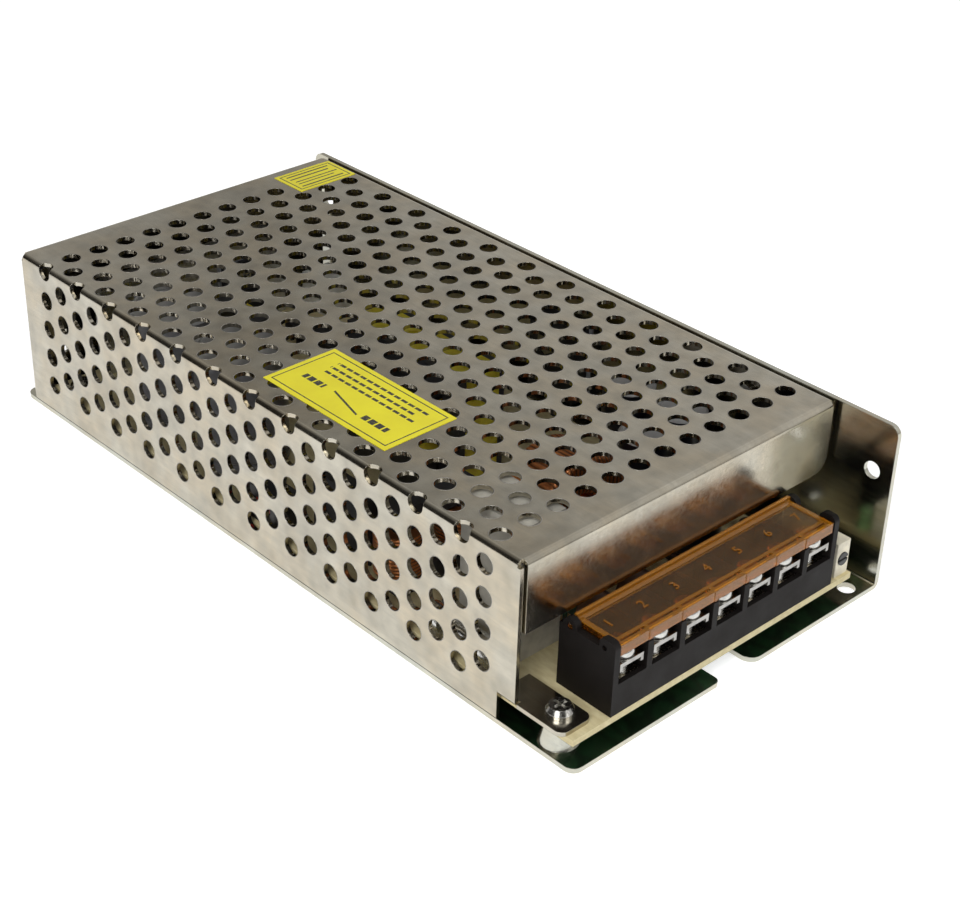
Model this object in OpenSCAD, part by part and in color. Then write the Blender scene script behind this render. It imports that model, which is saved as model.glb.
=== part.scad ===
// Mesh case switching power supply.
// Frame: X runs across the case, with the solid side wall at +X and the perforated side at -X.
// Y runs along the case, with the terminals at -Y. Z is up. The origin is the middle of the underside.

/* [Case] */
// Overall length of the base plate
case_l = 199; // [192:0.5:230]
// Overall width
case_w = 98; // [94:0.5:110]
// Overall height
case_h = 42; // [41:0.5:50]
// Sheet thickness of the base and the solid side wall
base_t = 1.2; // [1:0.1:1.6]
// Inside radius of every sheet bend
bend_in = 0.5; // [0.4:0.1:1]
// Radius of the base plate's free corners
corner_r = 2.5; // [1:0.5:5]
// Diameter of the mounting holes in the base and the side wall
mount_d = 4.2; // [3.2:0.1:5]
// Distance of the base's mounting holes from its ends
base_hole_end = 3.5; // [3.4:0.1:9]
// Distance of the base's mounting holes from the long edges
base_hole_side = 7; // [6:0.5:8]
// Distance of the wall's mounting holes from its ends
wall_hole_end = 5.3; // [4.5:0.1:12]
// Height of the wall's mounting holes
wall_hole_z = 29.2; // [20:0.2:32]
// Width of the notch in the base's front edge
notch_w = 10; // [6:0.5:16]
// Depth of the notch in the base's front edge
notch_l = 8; // [4:0.5:12]
// Corner radius where the notch meets the front edge
notch_r = 1.5; // [0.5:0.1:3]

/* [Cover] */
// Sheet thickness of the cover
cover_t = 1; // [0.8:0.1:1.2]
// Distance of the cover's front lip from the base's front edge
cover_front_set = 16.3; // [15.5:0.1:20]
// Distance of the cover's rear flap from the base's rear edge
cover_rear_set = 3.6; // [2:0.1:8]
// Gap between the rear flap and the base
rear_gap = 0.6; // [0.2:0.1:20]
// Width of the side panel's return at the rear
rear_return_w = 9.2; // [5:0.1:20]
// Width of the slot between the side panel's return and the rear flap
rear_slot_w = 1.5; // [0.5:0.1:3]
// Height of that slot
rear_slot_h = 6.5; // [2:0.5:12]
// Height of the inner flange along the solid side wall
flange_h = 9; // [8:0.5:9.5]
// Fitting gap between the cover and the base
seam = 0.15; // [0.1:0.05:0.4]
// Width of the foot tab that holds the cover to the board
foot_w = 9.1; // [8:0.1:10]
// Corner radius of the lip and the foot tab
tab_r = 2; // [1:0.5:2.5]

/* [Perforation] */
// Diameter of the holes
hole_d = 4.6; // [3:0.1:5.6]
// Distance between neighbouring holes
hole_pitch = 7.9; // [7.4:0.1:12]
// Distance of the first row from the rear flap
rear_margin = 11.3; // [6:0.1:20]
// Least distance of the last row from the front lip
front_margin = 10.2; // [8:0.1:20]
// Least distance of the holes from the inner flange
right_margin = 5.5; // [5:0.1:20]
// Least distance of the holes from the side panel's lower edge
lower_margin = 7; // [5:0.1:15]
// Distance along the sheet from the side panel's bend line up to the column of holes in the bend
bend_column = 0.2; // [0:0.1:1]

/* [Circuit board] */
// Board thickness
board_t = 1.6; // [1.2:0.1:2]
// Height of the pressed bosses that carry the board
boss_h = 4.2; // [3:0.1:5]
// Distance of the board from the base's front edge
board_front_set = 2; // [1:0.1:4]
// Distance of the board from the base's rear edge
board_rear_set = 11.5; // [10:0.5:14]
// Distance of the board from the case's left face
board_left_set = 1.6; // [1.4:0.1:2]
// Distance of the board from the case's right face
board_right_set = 8.5; // [7.5:0.1:9]

/* [Terminal block] */
// Thickness of the barriers between terminals
barrier_t = 1.6; // [1:0.1:2]
// Depth of the block from front to back
block_depth = 15.2; // [15:0.1:15.6]
// Height of the block's floor above the board
block_floor = 6.4; // [5:0.1:6.4]
// Distance of the block from the board's left edge
block_left_set = 10.6; // [10:0.1:11]
// Distance of the block from the board's right edge
block_right_set = 7.1; // [7:0.1:9]
// Height of the barriers above the board
barrier_h = 14.9; // [14.9:0.1:16]
// Travel of each wire clamp
clamp_travel = 2; // [1:0.1:2]
// Radius of the terminal screws' thread
screw_r = 1.75; // [1.4:0.05:1.9]
// Radius of the terminal screws' heads
head_r = 3.1; // [2.6:0.1:3.3]
// Thickness of the flip cover's plate
flap_t = 1.2; // [1:0.1:1.3]
// Radius of the flip cover's hinge pins
pin_r = 0.75; // [0.6:0.05:0.8]
// Radial running clearance of pins, screws and rotors
run_gap = 0.05; // [0.03:0.01:0.08]
// Gap between the block's hinge ears and the cover's lip above them
lip_gap = 0.3; // [0.2:0.1:1]

/* [Parts on the board] */
// Gap between the bulk capacitors and the cover
bulk_clear = 4; // [3:0.5:12]
// Diameter of the bulk capacitors
bulk_d = 22; // [18:0.5:23]
// Distance between the bulk capacitors' axes
bulk_step = 26; // [24:0.5:27]
// Gap between the tallest box parts and the cover
box_clear = 1; // [0.6:0.2:10]
// Gap between the main transformer and the cover
trafo_clear = 4; // [2:0.5:10]
// Length of the main transformer's core
trafo_l = 40; // [34:1:42]
// Depth of the main transformer's core
trafo_d = 14; // [10:1:16]
// Outer diameter of the output choke's winding
choke_d = 28; // [22:1:28]
// Diameter of the output capacitors
out_cap_d = 12.5; // [10:0.5:13]
// Height of the output capacitors
out_cap_h = 25; // [16:1:30]
// Height of the load resistor
load_h = 10; // [6:0.5:20]
// Gap between the output rectifier and the cover's inner flange
rectifier_clear = 1.2; // [0.4:0.2:6]
// Thickness of the transistors' heat sink
sink_t = 3; // [2:0.5:4]
// Height of the transistors' heat sink
sink_h = 26; // [24:1:30]

/* [Stickers] */
// Length of the large sticker
label_l = 41; // [30:1:44]
// Width of the large sticker
label_w = 20.4; // [14:0.2:24]
// Length of the small sticker
small_label_l = 18.6; // [12:0.2:18.8]
// Width of the small sticker
small_label_w = 11.6; // [8:0.2:14]
// Thickness of the stickers
label_t = 0.12; // [0.1:0.02:0.3]

/* [Hidden] */
WAYS = 7;
$fn = 48;
eps = 0.01;

// Case faces
left = -case_w / 2;
right = case_w / 2;
front = -case_l / 2;
rear = case_l / 2;
base_r = bend_in + base_t;
wall_in = right - base_t;

// Cover faces
cover_r = bend_in + cover_t;
cover_front = front + cover_front_set;
cover_rear = rear - cover_rear_set;
cover_right = wall_in - seam;
lid = case_h - cover_t;
side_low = base_t + seam;
corner_slit = 0.4;
return_x = left + rear_return_w;
rear_slot_z = case_h * 0.26;

// Perforation: the pattern is punched in the flat sheet, so it runs on round the bend
row_step = hole_pitch * sqrt(3) / 2;
bend_arc = PI / 2 * (bend_in + cover_t / 2);
top_column = cover_r - (bend_arc - bend_column);
side_column = cover_r - bend_column;
rows = floor((cover_rear - cover_front - rear_margin - front_margin) / row_step) + 1;
top_cols = floor((cover_right - left - right_margin - top_column) / hole_pitch);
side_cols = floor((case_h - side_low - lower_margin - side_column) / hole_pitch);

// Board faces
board_low = base_t + boss_h;
board_top = board_low + board_t;
board_x0 = left + board_left_set;
board_x1 = right - board_right_set;
board_y0 = front + board_front_set;
board_y1 = rear - board_rear_set;

// Bosses under the board: the first also carries the cover's foot
thread_r = 1.5;
shank_r = thread_r - run_gap;
boss_top_r = 3.1;
boss_base_r = 4.4;
foot_x = left + 5.1;
foot_y = board_y0 + 7.2;
foot_front = board_y0 + 1.8;
foot_rear = cover_front + 5.7;
BOSSES = [
    [foot_x, foot_y], [board_x1 - 4.2, board_y0 + 26],
    [board_x0 + 4.9, board_y1 - 5.5], [board_x1 - 4.2, board_y1 - 28]
];
pan_r = 3;
pan_h = 2;

// Countersunk screws through the side wall
csk_r = 2.6;
csk_h = csk_r - shank_r;
wall_screw_z = case_h - 6;
WALL_SCREWS_Y = [cover_front + 23, (cover_front + cover_rear) / 2, cover_rear - 24];

// Terminal block
block_x0 = board_x0 + block_left_set;
block_x1 = board_x1 - block_right_set;
way_pitch = (block_x1 - block_x0 - barrier_t) / WAYS;
contact_w = way_pitch - barrier_t - 0.8;
clamp_w = way_pitch - barrier_t - 1.4;
block_y0 = board_y0 + 0.1;
block_y1 = block_y0 + block_depth;
floor_z = board_top + block_floor;
barrier_z = board_top + barrier_h;
dip_z = barrier_z + 0.5;
post_top_z = barrier_z + 3;
hinge_y = block_y1 - 2.8;
hinge_z = barrier_z + 0.7;
ear_r = 1.9;
latch_w = 4.3;
barrel_r = 1.2;
lip_low = hinge_z + ear_r + lip_gap;
screw_y = block_y0 + 3.8;
contact_t = 0.8;
clamp_t = 1;
clamp_lip = 1;
contact_z = floor_z + contact_t;
clamp_z = contact_z + clamp_travel + clamp_lip + 0.6;
head_h = 2.2;
head_gap = 0.1;
post_r = 0.6;
skirt_low = barrier_z - 0.7;

// Flip cover
flap_x0 = block_x0 + barrier_t + 0.3;
flap_x1 = block_x1 - barrier_t - 0.3;
flap_y0 = block_y0 + 0.2;
flap_z = barrier_z + 0.3;
flap_rib_l = 2.6;

// Trimmer, at the block's right end
trimmer_w = 4.4;
trimmer_d = 5;
trimmer_h = 8.8;
trimmer_x0 = block_x1 + 2.2;
trimmer_y0 = board_y0 + 0.9;
rotor_r = 1.6;
rotor_z = board_top + trimmer_h / 2;

// Voltage selector, by the side panel
selector_w = 6;
selector_l = 14;
selector_h = 9;
selector_x0 = board_x0 + 1.2;
selector_y = along(0.547);
selector_z = board_top + 5;
selector_travel = 2.5;
slot_l = 8;
slot_h = 2.6;
nub_l = slot_l - selector_travel - 0.3;

// Parts behind the block: each keeps its place as a share of the board's width and length
function across(share) = board_x0 + share * (board_x1 - board_x0);
function along(share) = board_y0 + share * (board_y1 - board_y0);
bulk_x = across(0.187);
bulk_rear_y = along(0.8275);
bulk_h = lid - bulk_clear - board_top;
box_h = lid - box_clear - board_top;
line_cap_x = across(0.171);
line_cap_y = along(0.183);
fuse_x = across(0.05);
fuse_y = along(0.194);
fuse_z = board_top + 4;
fuse_l = 20;
fuse_r = 2.6;
line_choke_x = across(0.187);
line_choke_y = along(0.329);
bridge_x = across(0.102);
bridge_y = along(0.4286);
trafo_x = across(0.573);
trafo_y = along(0.543);
trafo_low = board_top + 2;
trafo_h = lid - trafo_clear - trafo_low;
choke_x = across(0.488);
choke_y = along(0.256);
choke_z = board_top + choke_d / 2;
choke_t = choke_d / 2;
driver_x = across(0.4255);
driver_y = along(0.849);
chip_x = across(0.7395);
chip_y = along(0.86);
sink_y = board_y1 - 4.5;
sink_x0 = board_x0 + 13;
sink_x1 = board_x1 - 16.9;
pad_t = 0.3;
TRANSISTORS_X = [sink_x0 + 16, sink_x1 - 16];
transistor_z = board_top + 4;
rectifier_y = 0;
rectifier_t = 4.8;
rectifier_low = board_top + 2.5;
rectifier_h = case_h - cover_r - flange_h - rectifier_clear - rectifier_low;
rectifier_hole_z = rectifier_low + rectifier_h - 5.5;
nut_t = 2.4;

// Quarter of a bent sheet's section, in the quadrant given by the two signs
module bend_section(thickness, sx, sy) {
    intersection() {
        difference() {
            circle(r = bend_in + thickness);
            circle(r = bend_in);
        }
        scale([sx, sy]) square(bend_in + thickness);
    }
}

// Waste that rounds a convex corner at the origin of a shape lying towards +X +Y
module corner_waste(r) {
    difference() {
        translate([-1, -1]) square(r + 1);
        translate([r, r]) circle(r = r);
    }
}

// Extrusion along +X of a section drawn in Y and Z
module along_x(x0, length) {
    translate([x0, 0, 0]) rotate([90, 0, 90]) linear_extrude(length) children();
}

// Extrusion along +Y of a section drawn in X and Z
module along_y(y0, length) {
    translate([0, y0 + length, 0]) rotate([90, 0, 0]) linear_extrude(length) children();
}

module block(x0, y0, z0, x1, y1, z1) {
    translate([x0, y0, z0]) cube([x1 - x0, y1 - y0, z1 - z0]);
}

// Pan head screw standing on z = 0 with its shank downwards
module pan_screw(shank, head, height, length, cross) {
    difference() {
        rotate_extrude() polygon([
            [0, -length], [shank, -length], [shank, 0], [head, 0],
            [head, height * 0.45], [head * 0.78, height], [0, height]
        ]);
        for (a = [0, 90]) rotate(a) translate([-cross, -0.4, height - 1]) cube([2 * cross, 0.8, 2]);
    }
}

// Countersunk screw along -X, with its head flush at x = 0
module wall_screw(length) {
    rotate([0, -90, 0]) difference() {
        rotate_extrude() polygon([
            [0, 0], [csk_r, 0], [shank_r, csk_h], [shank_r, length], [0, length]
        ]);
        for (a = [0, 90]) rotate(a) translate([-1.5, -0.35, -1]) cube([3, 0.7, 1.8]);
    }
}

module wall_screw_hole() {
    rotate([0, -90, 0]) rotate_extrude() polygon([
        [0, -1], [csk_r + run_gap, -1], [csk_r + run_gap, 0], [shank_r + run_gap, csk_h],
        [shank_r + run_gap, 3], [0, 3]
    ]);
}

module boss() {
    rotate_extrude() polygon([
        [thread_r, board_low], [boss_top_r, board_low], [boss_base_r, base_t], [boss_base_r, 0],
        [boss_base_r - base_t, 0], [boss_top_r - base_t * 0.8, board_low - base_t],
        [thread_r, board_low - base_t]
    ]);
}

module base_outline() {
    difference() {
        translate([left, front]) square([case_w - base_r, case_l]);
        translate([left, front]) corner_waste(corner_r);
        translate([left, rear]) mirror([0, 1]) corner_waste(corner_r);
        translate([-notch_w / 2, front - 1]) square([notch_w, notch_l + 1]);
        translate([-notch_w / 2, front]) mirror([1, 0]) corner_waste(notch_r);
        translate([notch_w / 2, front]) corner_waste(2 * notch_r);
        for (b = BOSSES) translate(b) circle(r = boss_base_r - eps);
        for (y = [front + base_hole_end, rear - base_hole_end])
            translate([right - base_hole_side, y]) circle(d = mount_d);
    }
}

module wall_outline() {
    difference() {
        translate([front, base_r]) square([case_l, case_h - base_r]);
        translate([front, case_h]) mirror([0, 1]) corner_waste(corner_r);
        translate([rear, case_h]) mirror([0, 1]) mirror([1, 0]) corner_waste(corner_r);
        for (y = [front + wall_hole_end, rear - wall_hole_end])
            translate([y, wall_hole_z]) circle(d = mount_d);
    }
}

module chassis() color([0.66, 0.66, 0.62]) {
    linear_extrude(base_t) base_outline();
    along_y(front, case_l) translate([right - base_r, base_r]) bend_section(base_t, 1, -1);
    difference() {
        along_x(wall_in, base_t) wall_outline();
        for (y = WALL_SCREWS_Y) translate([right, y, wall_screw_z]) wall_screw_hole();
        translate([right, rectifier_y, rectifier_hole_z]) wall_screw_hole();
    }
    for (b = BOSSES) translate(b) boss();
}

// Hole centres along the sheet's own surface, from the bend column outwards
function column(row, k) = hole_pitch * (k + (row % 2) / 2);
function row_y(row) = cover_rear - rear_margin - row * row_step;

module top_outline() {
    difference() {
        translate([left + cover_r, cover_front + cover_r])
            square([cover_right - left - 2 * cover_r, cover_rear - cover_front - 2 * cover_r]);
        for (row = [0 : rows - 1], k = [0 : top_cols])
            if (top_column + column(row, k) <= cover_right - left - right_margin)
                translate([left + top_column + column(row, k), row_y(row)]) circle(d = hole_d);
    }
}

module side_outline() {
    panel_front = cover_front + 0.6;
    difference() {
        translate([panel_front, side_low])
            square([cover_rear - cover_r - panel_front, case_h - cover_r - side_low]);
        translate([panel_front - 1, side_low - 1])
            square([foot_rear - panel_front + 1, board_top + cover_r - side_low + 1]);
        for (row = [0 : rows - 1], k = [0 : side_cols])
            if (side_column + column(row, k) <= case_h - side_low - lower_margin)
                translate([row_y(row), case_h - side_column - column(row, k)]) circle(d = hole_d);
    }
}

module lip_outline() {
    difference() {
        translate([left + cover_r, lip_low])
            square([cover_right - left - 2 * cover_r, case_h - cover_r - lip_low]);
        translate([cover_right - cover_r, lip_low]) mirror([1, 0]) corner_waste(2 * tab_r);
    }
}

module foot_outline() {
    difference() {
        union() {
            translate([left + cover_r, foot_front])
                square([foot_w - cover_r, foot_rear - foot_front]);
            translate([left + 0.2, foot_front])
                square([foot_w - 0.2, cover_front + 0.6 - corner_slit - foot_front]);
        }
        translate([left + 0.2, foot_front]) corner_waste(tab_r);
        translate([left + foot_w, foot_front]) mirror([1, 0]) corner_waste(tab_r);
        translate([foot_x, foot_y]) circle(r = thread_r + 0.2);
    }
}

module mesh_cover() color([0.62, 0.60, 0.57]) {
    y0 = cover_front + cover_r;
    y1 = cover_rear - cover_r;
    x0 = left + cover_r;
    x1 = cover_right - cover_r;
    z1 = case_h - cover_r;
    // top, with the long bend on its left where the pattern runs round
    translate([0, 0, lid]) linear_extrude(cover_t) top_outline();
    difference() {
        along_y(y0, y1 - y0) translate([x0, z1]) bend_section(cover_t, -1, 1);
        for (row = [0 : 2 : rows - 1]) translate([left - 1, row_y(row), case_h - side_column])
            rotate([0, 90, 0]) cylinder(d = hole_d, h = cover_r + 1 + eps);
    }
    along_x(left, cover_t) side_outline();
    // front lip
    along_x(x0, x1 - x0) translate([y0, z1]) bend_section(cover_t, -1, 1);
    along_y(cover_front, cover_t) lip_outline();
    // flange inside the solid side wall
    along_y(y0, y1 - y0) translate([x1, z1]) bend_section(cover_t, 1, 1);
    difference() {
        block(cover_right - cover_t, y0, z1 - flange_h, cover_right, y1, z1);
        for (y = WALL_SCREWS_Y) translate([cover_right + 1, y, wall_screw_z])
            rotate([0, -90, 0]) cylinder(r = thread_r, h = cover_t + 2);
    }
    // rear flap with a slot in its edge, and the side panel's return beside it
    along_x(x0, x1 - x0) translate([y1, z1]) bend_section(cover_t, 1, 1);
    difference() {
        block(return_x + corner_slit, cover_rear - cover_t, base_t + rear_gap, x1, cover_rear, z1);
        block(return_x, cover_rear - cover_t - 1, rear_slot_z, return_x + rear_slot_w, cover_rear + 1,
            rear_slot_z + rear_slot_h);
    }
    translate([0, 0, side_low]) linear_extrude(z1 - corner_slit - side_low)
        translate([x0, y1]) bend_section(cover_t, -1, 1);
    block(x0, cover_rear - cover_t, side_low, return_x, cover_rear, z1 - corner_slit);
    // foot tab that lies on the board
    along_y(cover_front + 0.6, foot_rear - cover_front - 0.6)
        translate([x0, board_top + cover_r]) bend_section(cover_t, -1, -1);
    translate([0, 0, board_top]) linear_extrude(cover_t) foot_outline();
}

module circuit_board() color([0.86, 0.80, 0.55])
    translate([0, 0, board_low]) linear_extrude(board_t) difference() {
        translate([board_x0, board_y0]) square([board_x1 - board_x0, board_y1 - board_y0]);
        for (b = BOSSES) translate(b) circle(r = thread_r + 0.2);
        for (i = [1 : WAYS]) translate([way_x(i), screw_y + 4]) circle(r = post_r + 0.15);
    }

module board_screws() color([0.8, 0.8, 0.8])
    for (i = [1 : len(BOSSES) - 1]) translate([BOSSES[i][0], BOSSES[i][1], board_top])
        pan_screw(shank_r, pan_r, pan_h, 5.5, 1.6);

module cover_foot_screw() color([0.85, 0.85, 0.85])
    translate([foot_x, foot_y, board_top + cover_t]) pan_screw(shank_r, pan_r, pan_h, 6.5, 1.6);

module wall_screws() color([0.8, 0.8, 0.8]) {
    for (y = WALL_SCREWS_Y) translate([right, y, wall_screw_z]) wall_screw(5);
    translate([right, rectifier_y, rectifier_hole_z]) wall_screw(base_t + pad_t + rectifier_t + nut_t + 0.6);
}

function way_x(i) = block_x0 + barrier_t / 2 + (i - 0.5) * way_pitch;

// Section of the block through a terminal: floor, low front wall and rear wall
module block_section() {
    translate([block_y0, board_top]) square([block_depth, block_floor]);
    translate([block_y0, board_top]) square([1.2, block_floor + 1.1]);
    translate([block_y1 - 1.4, board_top]) square([1.4, barrier_h - 1]);
}

module barrier_section() {
    difference() {
        translate([block_y0, board_top]) square([block_depth, barrier_h]);
        translate([block_y0 - 1, skirt_low - 0.3]) square([flap_rib_l + 1.5, 5]);
        translate([hinge_y, hinge_z]) circle(r = barrel_r + 0.3);
        translate([hinge_y, hinge_z - barrel_r - 0.3]) square([block_depth, 5]);
    }
}

module end_section() {
    difference() {
        union() {
            translate([block_y0, board_top]) square([block_depth, dip_z - board_top]);
            translate([block_y0, board_top]) square([latch_w, post_top_z - board_top]);
            translate([hinge_y, hinge_z]) circle(r = ear_r);
        }
        translate([block_y0, post_top_z]) mirror([0, 1]) corner_waste(latch_w / 3);
        translate([block_y0 + latch_w, post_top_z]) mirror([0, 1]) mirror([1, 0]) corner_waste(latch_w / 3);
        translate([hinge_y, hinge_z]) circle(r = pin_r + run_gap);
        translate([block_y0 + 2.9, hinge_z]) circle(r = 0.6);
    }
}

module terminal_block() color([0.13, 0.12, 0.12]) difference() {
    union() {
        along_x(block_x0, block_x1 - block_x0) block_section();
        for (i = [1 : WAYS - 1])
            along_x(block_x0 + i * way_pitch, barrier_t) barrier_section();
        along_x(block_x0, barrier_t) end_section();
        along_x(block_x1 - barrier_t, barrier_t) end_section();
    }
    for (i = [1 : WAYS]) {
        translate([way_x(i), screw_y, board_top - 1]) cylinder(r = screw_r + 0.4, h = block_floor + 2);
        translate([way_x(i), screw_y + 4, board_top - 1]) cylinder(r = post_r + 0.1, h = block_floor + 2);
    }
}

module terminal_contacts() color([0.8, 0.78, 0.72]) for (i = [1 : WAYS]) difference() {
    union() {
        block(way_x(i) - contact_w / 2, block_y0 + 1.3, floor_z,
            way_x(i) + contact_w / 2, screw_y + 5, contact_z);
        translate([way_x(i), screw_y + 4, board_low - 1]) cylinder(r = post_r, h = floor_z - board_low + 1);
    }
    translate([way_x(i), screw_y, floor_z - 1]) cylinder(r = screw_r + run_gap, h = contact_t + 2);
}

module terminal_clamp(i) color([0.82, 0.82, 0.8]) translate([way_x(i), screw_y, clamp_z]) difference() {
    union() {
        block(-clamp_w / 2, -clamp_w / 2, 0, clamp_w / 2, clamp_w / 2, clamp_t);
        for (s = [-1, 1]) translate([s * (clamp_w / 2 - 0.4), 0, -clamp_lip / 2])
            cube([0.8, clamp_w, clamp_lip], center = true);
    }
    translate([0, 0, -2]) cylinder(r = screw_r + run_gap, h = clamp_t + 4);
}

module terminal_screw(i) color([0.85, 0.85, 0.83])
    translate([way_x(i), screw_y, clamp_z + clamp_t + head_gap])
        pan_screw(screw_r, head_r, head_h, clamp_z + clamp_t + head_gap - contact_z + 2, 2);

module flap_section() {
    difference() {
        union() {
            translate([hinge_y, hinge_z]) circle(r = barrel_r);
            translate([flap_y0, flap_z]) square([hinge_y - flap_y0, flap_t]);
            translate([flap_y0, skirt_low]) square([1.1, flap_z + flap_t + 0.3 - skirt_low]);
            translate([flap_y0 + 1.8, flap_z]) square([0.8, flap_t + 0.3]);
            translate([hinge_y - 0.2, hinge_z]) square([0.9, 2]);
        }
    }
}

module terminal_cover() color([0.80, 0.45, 0.08, 0.6]) {
    along_x(flap_x0, flap_x1 - flap_x0) flap_section();
    for (x = [flap_x0, flap_x1 - 1.2])
        block(x, flap_y0, flap_z, x + 1.2, hinge_y, flap_z + flap_t + 0.3);
    for (i = [1 : WAYS - 1]) {
        x = block_x0 + i * way_pitch + barrier_t / 2;
        block(x - 0.5, flap_y0 - 0.15, skirt_low, x + 0.5, flap_y0 + flap_rib_l, flap_z + flap_t + 0.3);
    }
    for (x = [flap_x0 - barrier_t, flap_x1 - eps]) translate([x, hinge_y, hinge_z])
        rotate([0, 90, 0]) cylinder(r = pin_r, h = barrier_t + eps);
}

module trimmer_body() color([0.90, 0.87, 0.78]) difference() {
    block(trimmer_x0, trimmer_y0, board_top,
        trimmer_x0 + trimmer_w, trimmer_y0 + trimmer_d, board_top + trimmer_h);
    translate([trimmer_x0 + trimmer_w / 2, trimmer_y0 + 1.6, rotor_z])
        rotate([90, 0, 0]) cylinder(r = rotor_r + run_gap, h = 3);
}

module trimmer_rotor() color([0.2, 0.2, 0.2]) difference() {
    translate([trimmer_x0 + trimmer_w / 2, trimmer_y0 + 1.55, rotor_z])
        rotate([90, 0, 0]) cylinder(r = rotor_r, h = 1.85);
    block(trimmer_x0, trimmer_y0 - 1, rotor_z - 0.3, trimmer_x0 + trimmer_w, trimmer_y0 + 0.4, rotor_z + 0.3);
}

module power_lamp() color([0.4, 0.8, 0.4]) translate([trimmer_x0 + 2.2, trimmer_y0 + 8.4, board_top]) {
    cylinder(r = 1.9, h = 1);
    cylinder(r = 1.5, h = 4.2);
    translate([0, 0, 4.2]) sphere(r = 1.5);
}

module fuse_tube() color([0.8, 0.85, 0.85])
    translate([fuse_x, fuse_y - fuse_l / 2, fuse_z]) rotate([-90, 0, 0]) {
        cylinder(r = fuse_r - 0.2, h = fuse_l);
        cylinder(r = fuse_r, h = 5);
        translate([0, 0, fuse_l - 5]) cylinder(r = fuse_r, h = 5);
    }

module fuse_clips() color([0.75, 0.75, 0.72]) for (y = [fuse_y - fuse_l / 2 + 0.5, fuse_y + fuse_l / 2 - 4.5])
    along_y(y, 4) translate([fuse_x, 0]) {
        difference() {
            translate([0, fuse_z]) circle(r = fuse_r + 0.5);
            translate([0, fuse_z]) circle(r = fuse_r + 0.02);
            translate([-2, fuse_z + 1]) square([4, 5]);
        }
        translate([-1.5, board_top]) square([3, fuse_z - fuse_r - 0.3 - board_top]);
    }

module inrush_thermistor() color([0.15, 0.22, 0.18])
    translate([across(0.336), along(0.151), board_top]) {
        translate([0, 2.5, 9]) rotate([90, 0, 0]) cylinder(r = 6.5, h = 5);
        for (x = [-3.75, 3.75]) translate([x, 0, 0]) cylinder(r = 0.5, h = 4);
    }

module line_filter_capacitor() color([0.72, 0.70, 0.64])
    block(line_cap_x - 6, line_cap_y - 9, board_top, line_cap_x + 6, line_cap_y + 9, board_top + box_h);

module suppression_capacitors() color([0.16, 0.32, 0.62]) for (share = [0.307, 0.444])
    translate([across(share), along(0.108), board_top]) {
        translate([0, 2, 7.5]) rotate([90, 0, 0]) cylinder(r = 4.5, h = 4);
        for (x = [-2.5, 2.5]) translate([x, 0, 0]) cylinder(r = 0.4, h = 5);
    }

module line_choke_core() color([0.25, 0.25, 0.26])
    along_y(line_choke_y - 3, 6) translate([line_choke_x, board_top]) difference() {
        translate([-11, 0]) square([22, 22]);
        translate([-6, 5]) square([12, 12]);
    }

module line_choke_windings() color([0.65, 0.33, 0.15]) for (s = [-1, 1])
    translate([line_choke_x + s * 8.5, line_choke_y, board_top + 5.5]) difference() {
        cylinder(r = 5.6, h = 11);
        translate([-2.6, -3.1, -1]) cube([5.2, 6.2, 13]);
    }

module bridge_rectifier() color([0.12, 0.12, 0.13]) translate([bridge_x, bridge_y, board_top]) {
    block(-2.3, -9, 3, 2.3, 9, 18);
    for (y = [-7.5, -2.5, 2.5, 7.5]) translate([0, y, 0]) cylinder(r = 0.5, h = 4);
}

module voltage_selector_body() color([0.14, 0.14, 0.15]) difference() {
    block(selector_x0, selector_y - selector_l / 2, board_top,
        selector_x0 + selector_w, selector_y + selector_l / 2, board_top + selector_h);
    block(selector_x0 - 1, selector_y - slot_l / 2, selector_z - slot_h / 2,
        selector_x0 + 3.2, selector_y + slot_l / 2, selector_z + slot_h / 2);
}

module voltage_selector_slider() color([0.8, 0.12, 0.1]) {
    y0 = selector_y - slot_l / 2 + 0.15;
    block(selector_x0 + 0.2, y0, selector_z - slot_h / 2 + 0.1,
        selector_x0 + 3, y0 + nub_l, selector_z + slot_h / 2 - 0.1);
    block(selector_x0 - 0.9, y0 + nub_l / 2 - 1, selector_z - 0.9,
        selector_x0 + 0.2 + eps, y0 + nub_l / 2 + 1, selector_z + 0.9);
}

// Electrolytic capacitor standing on z = 0: rolled groove near the base, pressed rim at the top
module can(d, h) {
    r = d / 2;
    rotate_extrude() polygon([
        [0, 0], [r - 0.6, 0], [r, 0.6], [r, 2.2], [r - 0.7, 2.8], [r - 0.7, 3.2], [r, 3.8],
        [r, h - 0.6], [r - 0.6, h], [r - 1.4, h], [r - 1.4, h - 0.4], [0, h - 0.4]
    ]);
}

module bulk_capacitor(y) color([0.55, 0.55, 0.56]) translate([bulk_x, y, board_top]) can(bulk_d, bulk_h);

module main_transformer_core() color([0.22, 0.22, 0.23])
    along_x(trafo_x - trafo_d / 2, trafo_d) translate([trafo_y, trafo_low]) difference() {
        translate([-trafo_l / 2, 0]) square([trafo_l, trafo_h]);
        for (s = [-1, 1]) translate([s * trafo_l / 4 - 4, 6]) square([8, trafo_h - 12]);
    }

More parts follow.
